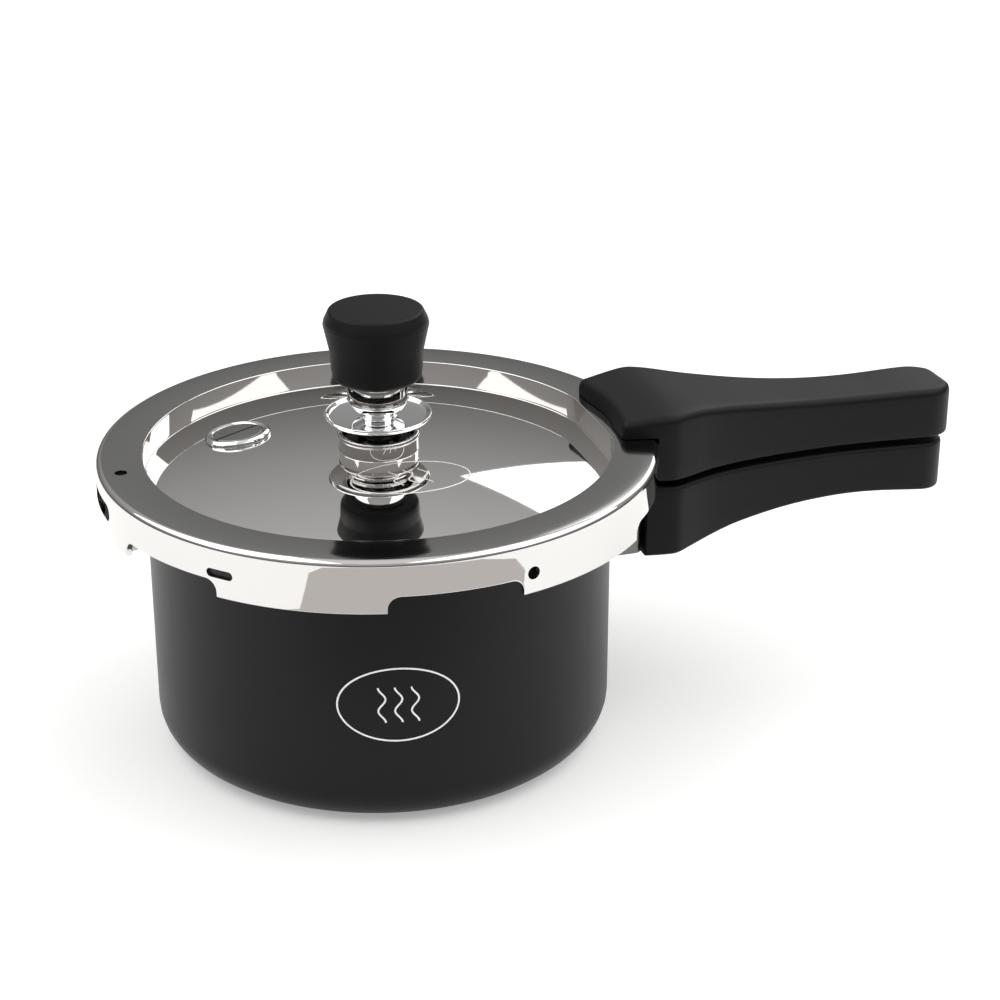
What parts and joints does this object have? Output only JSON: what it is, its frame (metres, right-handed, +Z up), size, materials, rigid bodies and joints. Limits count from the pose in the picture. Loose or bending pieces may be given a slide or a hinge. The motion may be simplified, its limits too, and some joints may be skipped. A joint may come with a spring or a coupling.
{
  "type": "stovetop pressure cooker",
  "caption": "Small stovetop pressure cooker with a straight black pot, a bayonet lid that locks over its rim, paired long handles and a lift-off weight valve.",
  "frame": {"origin": "middle of the pot's flat underside, which rests on the stove", "axes": "+Z up along the pot and valve axis, +X from the pot along both handles"},
  "size_m": [0.3665, 0.227, 0.1802],
  "materials": {
    "hard_anodised_aluminium": "satin hard anodised, near black",
    "phenolic": "moulded phenolic, satin black",
    "polished_lid": "mirror polished",
    "chrome": "bright plated",
    "steel": "bright",
    "rubber": "moulded, matt",
    "brass": "turned"
  },
  "bodies": {
    "pot": {"pot_shell": "hard_anodised_aluminium", "pot_bracket": "steel", "pot_bracket_rivet_1": "steel", "pot_bracket_rivet_2": "steel", "pot_handle": "phenolic", "pot_handle_washer": "steel", "pot_handle_screw": "steel"},
    "gasket": {"gasket": "rubber"},
    "lid": {"lid_shell": "polished_lid", "lid_bracket": "steel", "lid_bracket_rivet_1": "steel", "lid_bracket_rivet_2": "steel", "lid_handle": "phenolic", "lid_handle_screw": "steel", "vent_tube": "steel", "vent_seal": "rubber", "vent_washer": "rubber", "vent_nut": "brass", "safety_plug": "chrome", "safety_plug_core": "steel", "safety_plug_seal": "rubber", "safety_plug_nut": "brass"},
    "weight": {"weight_body": "chrome", "weight_saucer": "chrome", "weight_pin": "steel", "weight_knob_insert": "brass", "weight_knob": "phenolic"}
  },
  "joints": [
    {"name": "lid_lift", "type": "slide", "parent": "pot", "child": "gasket", "axis": [0, 0, 1], "range_m": [0, 0.15]},
    {"name": "lid_turn", "type": "hinge", "parent": "gasket", "child": "lid", "pos_m": [0, 0, 0.11], "axis": [0, 0, 1], "range_deg": [0, 30]},
    {"name": "weight_lift", "type": "slide", "parent": "lid", "child": "weight", "axis": [0, 0, 1], "range_m": [0, 0.04]}
  ]
}
